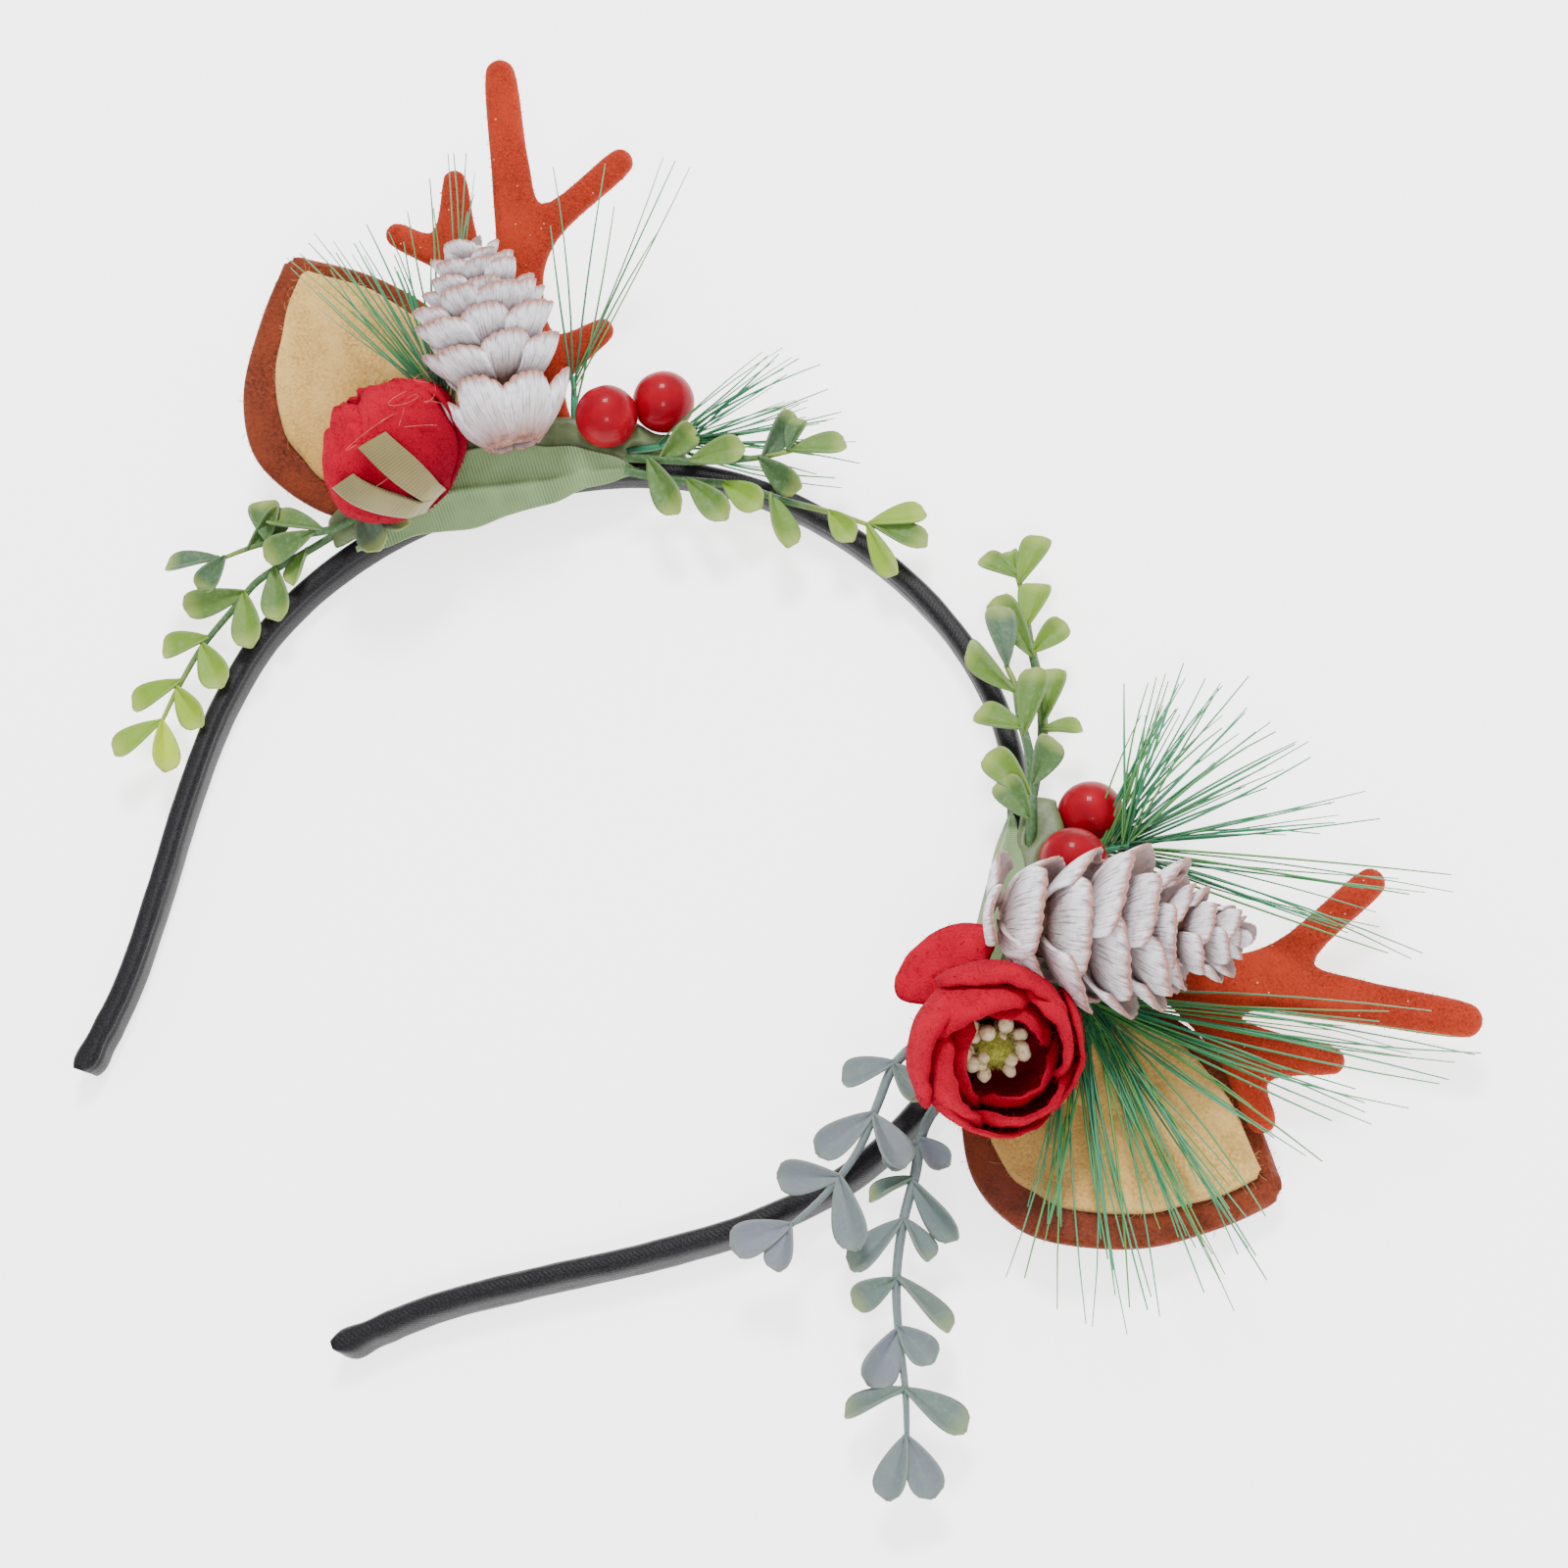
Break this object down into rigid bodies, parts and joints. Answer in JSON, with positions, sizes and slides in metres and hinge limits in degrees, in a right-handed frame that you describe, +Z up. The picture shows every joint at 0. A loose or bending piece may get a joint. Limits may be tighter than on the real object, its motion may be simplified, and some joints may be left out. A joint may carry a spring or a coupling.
{
  "type": "costume antler headband",
  "caption": "Satin-wrapped hair band with felt ears, flocked antlers, pine cones, red flowers, berries, leafy sprigs and pine needles.",
  "frame": {"origin": "on the surface the headband lies on, under the middle of its whole outline", "axes": "+X from the left arm to the right arm, +Y from the band's tips to its apex, +Z up off the surface"},
  "size_m": [0.233, 0.1686, 0.0381],
  "materials": {
    "satin": "black satin wrap",
    "glue": "set glue",
    "leaf_cloth": "stiff green cloth",
    "brown_felt": "brown felt",
    "sand_felt": "sand felt",
    "flock": "rust flock",
    "cone_wood": "whitewashed",
    "petal_cloth": "napped red cloth",
    "ribbon": "woven ribbon",
    "stamen": "matte",
    "berry": "glossy",
    "needle": "thin plastic strip",
    "frosted_leaf": "frosted soft plastic"
  },
  "bodies": {
    "root": {"headband": "satin", "glue_bed_left": "glue", "glue_bed_right": "glue", "fabric_leaf_left": "leaf_cloth", "fabric_leaf_right": "leaf_cloth", "ear_outer_left": "brown_felt", "ear_outer_right": "brown_felt", "ear_lining_left": "sand_felt", "ear_lining_right": "sand_felt", "antler_left": "flock", "antler_right": "flock", "pine_cone_left": "cone_wood", "pine_cone_right": "cone_wood", "flower_left": "petal_cloth", "flower_right": "petal_cloth", "sepals_left": "ribbon", "stamens_right": "stamen", "berry_1_left": "berry", "berry_2_left": "berry", "berry_1_right": "berry", "berry_2_right": "berry", "pine_needles_ear_left": "needle", "pine_needles_sparse_left": "needle", "pine_needles_apex_left": "needle", "pine_needles_ear_right": "needle", "pine_needles_apex_right": "needle", "sprig_side_left": "frosted_leaf", "sprig_arm_left": "frosted_leaf", "sprig_apex_upper_left": "frosted_leaf", "sprig_apex_lower_left": "frosted_leaf", "sprig_apex_front_right": "frosted_leaf", "sprig_apex_back_right": "frosted_leaf", "sprig_arm_inner_right": "frosted_leaf", "sprig_arm_outer_right": "frosted_leaf"}
  },
  "joints": []
}
